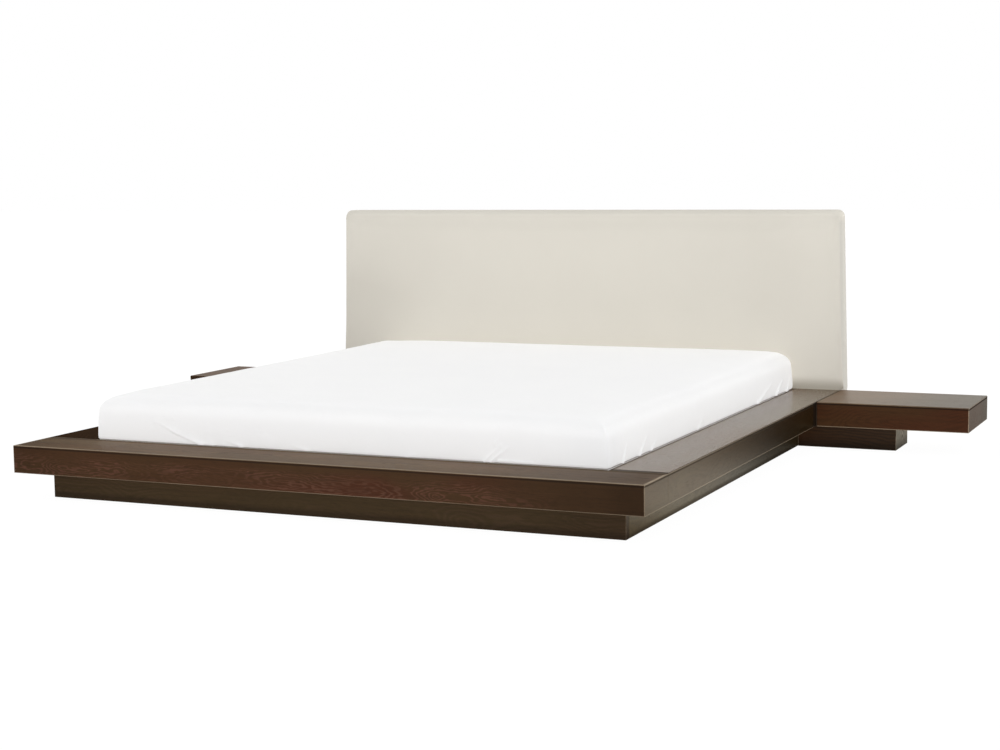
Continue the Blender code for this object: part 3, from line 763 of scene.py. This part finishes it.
def makeMattress():
    low, high = cornersOf("mattress_core")
    look = mattressLook
    size = high - low - Vector((2, 2, 0)) * look["shrink"]
    size.z -= look["crown"]
    sideCuts = bothEnds(look["cuts"])
    bm = squaredBlock(size, (sideCuts, sideCuts, look["cuts"] + look["cutsBelow"]), look["step"])
    roundBlock(bm, size, look["planRadius"], look["topRadius"], look["footRadius"], look["topRadiusAlong"])
    middle = (low + high) / 2
    bmesh.ops.translate(bm, verts=bm.verts, vec=(middle.x, middle.y, low.z + size.z / 2))
    pinned, brow = look["pinnedBelow"], low.z + size.z
    for vert in bm.verts:
        acrossShare, alongShare = vert.co.x * 2 / size.x, (vert.co.y - middle.y) * 2 / size.y
        if vert.co.z > pinned:
            climb = (vert.co.z - pinned) / (brow - pinned)
            outwards = wayOut(vert.co - middle, size.x / 2, size.y / 2, look["topRadius"])
            nearFace = max(abs(acrossShare), abs(alongShare)) ** look["nearFace"]
            nearHead = max(abs(acrossShare), alongShare) ** look["nearFace"]
            towardsHead = max(alongShare, 0)
            clear = min((vert.co.z - pinned) / look["clearOfDeck"], 1)
            spread = clear * (1 + look["headSpread"] * towardsHead**8)
            square = 6 + look["headSquare"] * towardsHead**2 * (acrossShare > 0)
            dome = max(0, 1 - abs(acrossShare) ** square) * max(0, 1 - alongShare**40)
            fromCorner = hypot(1 - abs(acrossShare), 1 - abs(alongShare)) * size.x / 2 / look["cornerReach"]
            sink = look["cornerDrop"][copysign(1, alongShare)] * exp(-(fromCorner**2)) * climb**2
            bulge = look["bulge"] * swell(climb, *look["swell"]) * nearFace * spread
            vert.co += outwards * (bulge - sink * look["cornerIn"])
            behind = clear * max(outwards.y, 0) * look["headBulge"] * swell(climb, *look["headSwell"])
            vert.co.y += behind * nearHead
            vert.co.z += look["crown"] * dome * climb - sink
    pad = makePiece("mattressPad", bm, ticking, "mattress")
    puffUp(pad, lambda place: place.z < look["pinnedBelow"], look)
    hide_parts("mattress_core")
    return pad


sheetLook = {
    "offset": 0.0013, "hem": 0.070, "thickness": 0.0009, "slack": 0.0012,
    "freeFrom": 0.1805,  # folds stand out above this height
    "freeOver": 0.006,  # and grow over this one
    "flat": (2.318, 2.518), "cornerCut": 0.259,
}

# small pleats where the cloth is drawn in, by the axis and side of their face: the lower and upper end of the
# ridge along the face and in height, half its width, its height
sheetFolds = {
    (1, -1): (
        ((-0.584, 0.213), (-0.645, 0.240), 0.0055, 0.0040),
        ((-0.494, 0.184), (-0.607, 0.221), 0.0065, 0.0055),
        ((-0.455, 0.182), (-0.536, 0.190), 0.0060, 0.0040),
        ((-0.344, 0.184), (-0.396, 0.199), 0.0050, 0.0045),
        ((-0.100, 0.182), (-0.150, 0.194), 0.0060, 0.0030),
        ((0.240, 0.182), (0.280, 0.196), 0.0060, 0.0025),
        ((0.506, 0.184), (0.560, 0.236), 0.0055, 0.0060),
        ((0.524, 0.182), (0.582, 0.230), 0.0055, 0.0070),
        ((0.560, 0.190), (0.665, 0.188), 0.0060, 0.0050),
        ((0.539, 0.236), (0.556, 0.262), 0.0070, 0.0030),
    ),
    (0, 1): (
        ((-0.850, 0.184), (-0.808, 0.232), 0.0060, 0.0055),
        ((-0.705, 0.184), (-0.635, 0.232), 0.0060, 0.0055),
        ((-0.600, 0.182), (-0.550, 0.206), 0.0055, 0.0050),
        ((-0.130, 0.186), (-0.062, 0.226), 0.0070, 0.0030),
        ((0.560, 0.184), (0.754, 0.233), 0.0085, 0.0060),
        ((0.810, 0.184), (0.907, 0.234), 0.0080, 0.0065),
        ((0.950, 0.184), (0.998, 0.226), 0.0075, 0.0065),
    ),
    (0, -1): (
        ((-0.800, 0.182), (-0.730, 0.235), 0.0060, 0.0050),
        ((-0.600, 0.182), (-0.570, 0.225), 0.0055, 0.0050),
        ((0.560, 0.182), (0.600, 0.225), 0.0060, 0.0050),
        ((0.840, 0.182), (0.930, 0.250), 0.0070, 0.0060),
    ),
    (1, 1): (
        ((-0.700, 0.182), (-0.640, 0.235), 0.0060, 0.0050),
        ((0.550, 0.182), (0.620, 0.230), 0.0060, 0.0050),
        ((0.760, 0.182), (0.800, 0.240), 0.0060, 0.0055),
    ),
}
foldReach = 0.020  # how far from a ridge the cloth is meshed finely
foldFace = 0.88  # faces further out than this carry folds


def besideFolds(place):
    # for each fold on the face of a point: the distance, the side of the ridge and how far along it
    for (axis, side), folds in sheetFolds.items():
        for start, end, wide, high in folds if place[axis] * side > foldFace else ():
            start, run = Vector(start), Vector(end) - Vector(start)
            spot = Vector((place[1 - axis], place.z)) - start
            share = within(spot.dot(run) / run.length_squared)
            away = spot - run * share
            yield away.length, run.cross(away), share, wide, high


def foldLift(place):
    lift = 0.0
    for away, turn, share, wide, high in besideFolds(place):
        reach = away / wide * (1.9 if turn > 0 else 0.8)
        if reach < 3:
            lift += high * (1 - 0.75 * share) * exp(-reach * reach)
    return lift


def makeSheet(pad):
    look = sheetLook
    bm = meshOf(pad)
    floor = min(vert.co.z for vert in bm.verts)
    low, high = cornersOf("mattress_core")

    def underHem(spot):
        deep = min(spot.x - low.x, high.x - spot.x, spot.y - low.y, high.y - spot.y)
        return spot.z < floor + 0.002 and deep > look["hem"]

    def lift(place):
        ripple = 0.5 + 0.5 * noise.noise(place * 9)
        above = within((place.z - look["freeFrom"]) / look["freeOver"])
        return look["offset"] + above * (look["slack"] * ripple + foldLift(place))

    dropFaces(bm, underHem)
    nearby = {vert for vert in bm.verts if any(fold[0] < foldReach for fold in besideFolds(vert.co))}
    fine = [edge for edge in bm.edges if nearby.issuperset(edge.verts)]
    bmesh.ops.subdivide_edges(bm, edges=fine, cuts=3, use_grid_fill=True)
    bm.normal_update()
    pushOut(bm, lift)
    sheet = makePiece("fittedSheet", bm, cotton, "mattress")
    thicken(sheet, look["thickness"])
    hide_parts("fitted_sheet")


makeSheet(makeMattress())
print("mattress made, sheet fitted")


# Headboard

headboardLook = {
    "step": 0.014, "cuts": (0.043, 0.026, 0.018, 0.011, 0.005),
    "frontCuts": (0.022, 0.014, 0.008, 0.003, -0.008, -0.003), "cornerRadius": 0.026,
    "frontRadius": 0.022, "frontSideRadius": 0.007, "backRadius": 0.008,
    "widths": (1.0970, 1.0805),  # half widths just above the deck and at the top
    "spreadsFrom": 0.0015,  # how far above the deck the cover begins to spread
    "spreadsOver": 0.003,
    "spreadsLower": 0.020,  # how much lower it does so behind the shelves
    "behindShelf": (0.002, 0.010),  # where that begins, and over what distance
    "shrink": 0.0010, "pressure": 4.0, "slack": 0.001, "cap": 0.006,
    "pinnedBelow": 0.200,  # flat where it meets the ends of the rails
    "leatherThickness": 0.0018, "foamGap": 0.0004, "return": 0.035,
}


def standUp(bm, low, high, size, spreadFrom):
    # turns a block so that its top faces the foot end; it spreads above a height and narrows to its upper end
    look = headboardLook
    turn = Matrix.Rotation(pi / 2, 4, "X")
    middle = Vector(((low.x + high.x) / 2, high.y - size.z / 2, (low.z + high.z) / 2))
    bmesh.ops.transform(bm, matrix=Matrix.Translation(middle) @ turn, verts=bm.verts)
    wide, narrow = look["widths"]
    away, over = look["behindShelf"]
    for vert in bm.verts:
        climb = max(vert.co.z - spreadFrom, 0) / (high.z - spreadFrom)
        behind = within((vert.co.y - shelf[1].y - away) / over) * look["spreadsLower"]
        spread = within((vert.co.z - spreadFrom + behind) / look["spreadsOver"])
        vert.co.x *= 1 + spread * ((wide + (narrow - wide) * climb) / high.x - 1)


def makeHeadboardCover():
    look = headboardLook
    low, high = cornersOf("headboard_cover")
    size = Vector((high.x - low.x, high.z - low.z, high.y - low.y))
    size -= Vector((2, 2, 1)) * look["shrink"]
    sideCuts = bothEnds(look["cuts"])
    spreadFrom = deck + look["spreadsFrom"]
    heightCuts = sideCuts + [low.z - spreadFrom, low.z - spreadFrom - look["spreadsOver"]]
    bm = squaredBlock(size, (sideCuts, heightCuts, look["frontCuts"]), look["step"])
    corner, front, back, side = (look[key + "Radius"] for key in ("corner", "front", "back", "frontSide"))
    roundBlock(bm, size, corner, front, back, side)
    standUp(bm, low, high, size, spreadFrom)
    cover = makePiece("headboardCover", bm, leather, "bed_frame")
    sidePlane = low.y + front * 0.8
    puffUp(cover, lambda place: place.y > sidePlane or place.z < look["pinnedBelow"], look)
    makeHeadboardFoam(cover)
    openBack(cover, low, high)
    thicken(cover, look["leatherThickness"])
    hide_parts("headboard_cover")
    return cover


def openBack(cover, low, high):
    # the cover returns a hand's breadth round the back, and is cut out where the two legs pass
    look = headboardLook
    bm = meshOf(cover)
    legs = [cornersOf(f"headboard_stile_{side}") for side in ("left", "right")]
    for legLow, legHigh in legs:
        cutAcross(bm, 0, legLow.x - 0.001)
        cutAcross(bm, 0, legHigh.x + 0.001)
    cutAcross(bm, 1, legs[0][0].y - 0.001)

    def isOpen(spot):
        inset = look["return"] + look["backRadius"]
        inPlan = low.x + inset < spot.x < high.x - inset and low.z + inset < spot.z < high.z - inset
        if spot.y > high.y - 0.0015 and inPlan:
            return True
        byLeg = any(legLow.x - 0.001 < spot.x < legHigh.x + 0.001 for legLow, legHigh in legs)
        return byLeg and spot.y > legs[0][0].y - 0.001 and spot.z < low.z + 0.016

    dropFaces(bm, isOpen)
    bm.to_mesh(cover.data)
    bm.free()


def makeHeadboardFoam(cover):
    # fills the cover, with a pocket at the back for the timber frame
    bm = meshOf(cover)
    pushOut(bm, lambda place: -headboardLook["leatherThickness"] - headboardLook["foamGap"])
    panelLow, panelHigh = cornersOf("headboard_panel")
    back = max(vert.co.y for vert in bm.verts)
    for axis in (0, 2):
        for place in (panelLow[axis] - 0.0005, panelHigh[axis] + 0.0005):
            cutAcross(bm, axis, place)

    def inPocket(face):
        spot = face.calc_center_median()
        inPlan = panelLow.x < spot.x < panelHigh.x and panelLow.z < spot.z < panelHigh.z
        return inPlan and spot.y > back - 0.001

    pocket = [face for face in bm.faces if inPocket(face)]
    sinkFaces(bm, pocket, (0, panelLow.y - 0.0005 - back, 0))
    bmesh.ops.recalc_face_normals(bm, faces=bm.faces)
    block = makePiece("headboardFoam", bm, foam, "bed_frame")
    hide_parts("headboard_foam")


dustClothLook = {
    "grid": (140, 50), "thickness": 0.0005,
    "behind": 0.0004,  # how far its middle lies inside the CAD cloth
    "slackFrom": 0.10,  # it is tight at its edge and slack this far in
    "pleat": 0.05,  # from staple to staple
    "pleatReach": 0.03,
}


def makeDustCloth():
    look = dustClothLook
    low, high = cornersOf("headboard_back_cloth")
    bm = bmesh.new()
    bmesh.ops.create_grid(bm, x_segments=look["grid"][0], y_segments=look["grid"][1], size=0.5)
    turn = Matrix.Rotation(pi / 2, 4, "X")
    spread = Matrix.Diagonal((high.x - low.x, 1, high.z - low.z, 1))
    middle = Matrix.Translation(((low.x + high.x) / 2, high.y - look["behind"], (low.z + high.z) / 2))
    bmesh.ops.transform(bm, matrix=middle @ spread @ turn, verts=bm.verts)
    for vert in bm.verts:
        edge = min(vert.co.x - low.x, high.x - vert.co.x, vert.co.z - low.z, high.z - vert.co.z)
        slack = min(edge / look["slackFrom"], 1)
        sag = 0.0022 * slack * (0.6 + noise.noise(vert.co * 6)) + 0.0012 * slack * noise.noise(vert.co * 17)
        pull = 0.0004 * sin(vert.co.x * 2 * pi / look["pleat"]) * max(0, 1 - edge / look["pleatReach"])
        vert.co.y -= max(sag, 0) + max(pull, 0)
    bmesh.ops.recalc_face_normals(bm, faces=bm.faces)
    cloth = makePiece("headboardDustCloth", bm, backing, "bed_frame")
    thicken(cloth, look["thickness"], 0)
    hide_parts("headboard_back_cloth")


headboardCover = makeHeadboardCover()
makeDustCloth()
print("headboard upholstered")


# Small fixings

stapleLook = {
    "pitch": 0.048, "wide": 0.0105, "wire": 0.0009, "inset": 0.009,
    "turns": (0.12, pi / 2 + 0.1),  # of the level rows and of the upright ones
    "askew": 0.12,  # how far each is turned besides
}


def makeStaples():
    look = stapleLook
    low, high = cornersOf("headboard_back_cloth")
    left, right = low.x + look["inset"], high.x - look["inset"]
    bottom, top = low.z + look["inset"], high.z - look["inset"]
    bm = bmesh.new()
    across, up = round((right - left) / look["pitch"]), round((top - bottom) / look["pitch"])
    rows = [left + (right - left) * n / across for n in range(across + 1)]
    columns = [bottom + (top - bottom) * n / up for n in range(1, up)]
    spots = [(x, z, look["turns"][0]) for x in rows for z in (bottom, top)]
    spots += [(x, z, look["turns"][1]) for z in columns for x in (left, right)]
    for x, z, turn in spots:
        lean = turn + look["askew"] * noise.noise(Vector((x * 31, z * 17, 0)))
        size = Matrix.Diagonal((look["wide"], look["wire"], look["wire"], 1))
        place = Matrix.Translation((x, high.y - 0.0001, z)) @ Matrix.Rotation(lean, 4, "Y") @ size
        bmesh.ops.create_cube(bm, size=1, matrix=place)
    ends = [e for e in bm.edges if e.calc_length() > look["wide"] * 0.9]
    bmesh.ops.bevel(bm, geom=ends, offset=0.0002, segments=1, affect="EDGES", profile=0.5, material=-1)
    makePiece("dustClothStaples", bm, steel, "bed_frame", smooth=False)


screwLook = {
    "head": 0.0042,
    "crown": 0.72,  # how wide the head is at its top, as a share
    "height": 0.0019, "socket": 0.0016,
    "deep": 0.6,  # how deep the socket is, as a share of the height
    "sides": 14,
}
screwPlaces = {"slat": (0.013, 0.032), "sunk": 0.0012, "bracket": (0.035, 0.019), "plate": 0.003}


def screwHead(bm, spot, facing):
    # a low head with a hexagon socket, its underside at spot
    look = screwLook
    up = Vector(facing).to_track_quat("Z", "Y").to_matrix().to_4x4()
    place = Matrix.Translation(Vector(spot) + Vector(facing) * look["height"] / 2) @ up
    wide, narrow = look["head"], look["head"] * look["crown"]
    made = bmesh.ops.create_cone(
        bm, cap_ends=True, segments=look["sides"], radius1=wide, radius2=narrow, depth=look["height"],
        matrix=place,
    )
    ends = {face for vert in made["verts"] for face in vert.link_faces if len(face.verts) > 4}
    crown = max(ends, key=lambda face: face.calc_center_median().dot(Vector(facing)))
    bmesh.ops.inset_region(bm, faces=[crown], thickness=narrow - look["socket"])
    sinkFaces(bm, [crown], Vector(facing) * -look["height"] * look["deep"])


def makeScrews():
    fromEnd, fromSide = screwPlaces["slat"]
    plate = screwPlaces["plate"]
    slats = bmesh.new()
    for number in range(1, 11):
        low, high = cornersOf(f"slat_{number:02d}")
        for x in (low.x + fromEnd, high.x - fromEnd):
            for y in (low.y + fromSide, high.y - fromSide):
                screwHead(slats, (x, y, high.z - screwPlaces["sunk"]), (0, 0, 1))
    bmesh.ops.recalc_face_normals(slats, faces=slats.faces)
    makePiece("slatScrews", slats, steel, "bed_frame", smooth=False)
    brackets = bmesh.new()
    for end, towards in (("foot", 1), ("head", -1)):
        for side, sign in (("left", -1), ("right", 1)):
            low, high = cornersOf(f"corner_bracket_{end}_{side}")
            z = (low.z + high.z) / 2
            x, y = (high.x if sign > 0 else low.x), (low.y if towards > 0 else high.y)
            for run in screwPlaces["bracket"]:
                screwHead(brackets, (x - sign * plate, y + towards * run, z), (-sign, 0, 0))
                screwHead(brackets, (x - sign * run, y + towards * plate, z), (0, towards, 0))
    bmesh.ops.recalc_face_normals(brackets, faces=brackets.faces)
    makePiece("bracketScrews", brackets, steel, "bed_frame", smooth=False)


makeStaples()
makeScrews()
print("fixings placed")


# Studio

studio = {
    "camera": (2.79547, -5.94604, 1.07768), "turn": 0.42162, "tilt": -0.11511, "roll": -0.01265,
    "lens": 66.706, "sky": 0.57,
    "mirrored": 0.20,  # what gloss sees of the room
    "floor": (0.60, 0.60, 0.60), "floorGlow": 0.85,
}


def makeCamera():
    lens = bpy.data.cameras.new("studioCamera")
    lens.lens = studio["lens"]
    lens.sensor_width = 36
    lens.clip_end = 100
    camera = bpy.data.objects.new("studioCamera", lens)
    aim = Matrix.Rotation(studio["turn"], 4, "Z") @ Matrix.Rotation(pi / 2 + studio["tilt"], 4, "X")
    aim = aim @ Matrix.Rotation(studio["roll"], 4, "Z")
    camera.matrix_world = Matrix.Translation(studio["camera"]) @ aim
    bpy.context.scene.collection.objects.link(camera)
    bpy.context.scene.camera = camera


def makeWorld():
    bench = Bench("studioWorld", bpy.data.worlds)
    isCamera, isGlossy = bench.rays()

    def sky(strength):
        return bench.node("Background", None, {"Color": (1, 1, 1), "Strength": strength})

    unseen = bench.choose(isGlossy, sky(studio["sky"]), sky(studio["mirrored"]))
    bpy.context.scene.world = bench.show(bench.choose(isCamera, unseen, sky(1.0)), "World Output")


def makeFloor():
    bm = bmesh.new()
    bmesh.ops.create_grid(bm, x_segments=1, y_segments=1, size=30)
    bench = Bench("studioFloor")
    x, y, z = bench.split(bench.place())
    isCamera, isGlossy = bench.rays()
    matt = bench.node("BsdfDiffuse", None, {"Color": studio["floor"]})
    # painted light and shade that gloss sees on the floor, half of it glowing: light beside the bed, darker
    # in front of it and towards the head end
    paintedFloorLight = bench.ease(y, -1.00, -0.45, 0.15, 1.0) * bench.ease(x, -1.2, -0.2, 0.2, 1)
    paintedFloorLight = paintedFloorLight * bench.ease(y, -0.1, 0.7, 1, 0.2)
    paintedFloorLight = paintedFloorLight.atLeast(bench.ease(x, 1.45, 1.7) * bench.ease(y, 0.8, 1.3, 0, 0.62))
    shaded = bench.node("BsdfDiffuse", None, {"Color": bench.join(paintedFloorLight, paintedFloorLight * 0.96, paintedFloorLight * 0.84)})
    even = bench.node("Emission", None, {"Color": (1.0, 0.96, 0.84), "Strength": paintedFloorLight})
    mirrored = bench.choose(0.5, shaded, even)
    glow = bench.node("Emission", None, {"Strength": 1.10})
    unseen = bench.choose(isGlossy, matt, mirrored)
    shown = bench.choose(isCamera * studio["floorGlow"], unseen, glow)
    floor = makeObject("studioFloor", bm, bench.show(shown))
    floor.location.z = -0.0002


backCard = {
    "at": (-0.5, 3.6, 1.0), "aim": (-0.5, 0, 1.0), "size": (7.6, 2.0), "bright": 0.9,
    "tone": (1.0, 0.965, 0.875),
}

# even light from all round: the way that it travels and its strength
roomLight = {
    (0, 0, -1): 0.08, (-1, 0, 0): 0.27, (1, 0, 0): 0.20, (0, -1, 0): 0.20, (1, 1, -1): 0.31,
    (-1, 1, -1): 0.15, (-1, 1, 1): 0.31, (1, 1, 1): 0.24, (-1, -1, -1): 0.10, (1, -1, -1): 0.10,
}


def makeLamp(name, kind, facing):
    lamp = bpy.data.lights.new(name, kind)
    holder = bpy.data.objects.new(name, lamp)
    holder.rotation_euler = Vector(facing).to_track_quat("-Z", "Y").to_euler()
    bpy.context.scene.collection.objects.link(holder)
    return lamp, holder


def makeLamps():
    look = backCard
    lamp, holder = makeLamp("backCard", "AREA", Vector(look["aim"]) - Vector(look["at"]))
    lamp.shape = "RECTANGLE"
    lamp.size, lamp.size_y = look["size"]
    lamp.energy = look["bright"] * pi * lamp.size * lamp.size_y
    lamp.color = look["tone"]
    holder.location = look["at"]
    holder.visible_camera = False
    for facing, bright in roomLight.items():
        lamp, holder = makeLamp("roomLight", "SUN", facing)
        lamp.energy = bright * pi
        lamp.angle = radians(20)
        lamp.use_shadow = False
        holder.visible_glossy = False


makeCamera()
makeWorld()
makeFloor()
makeLamps()
bpy.context.scene.view_settings.view_transform = "Standard"
print("studio set")
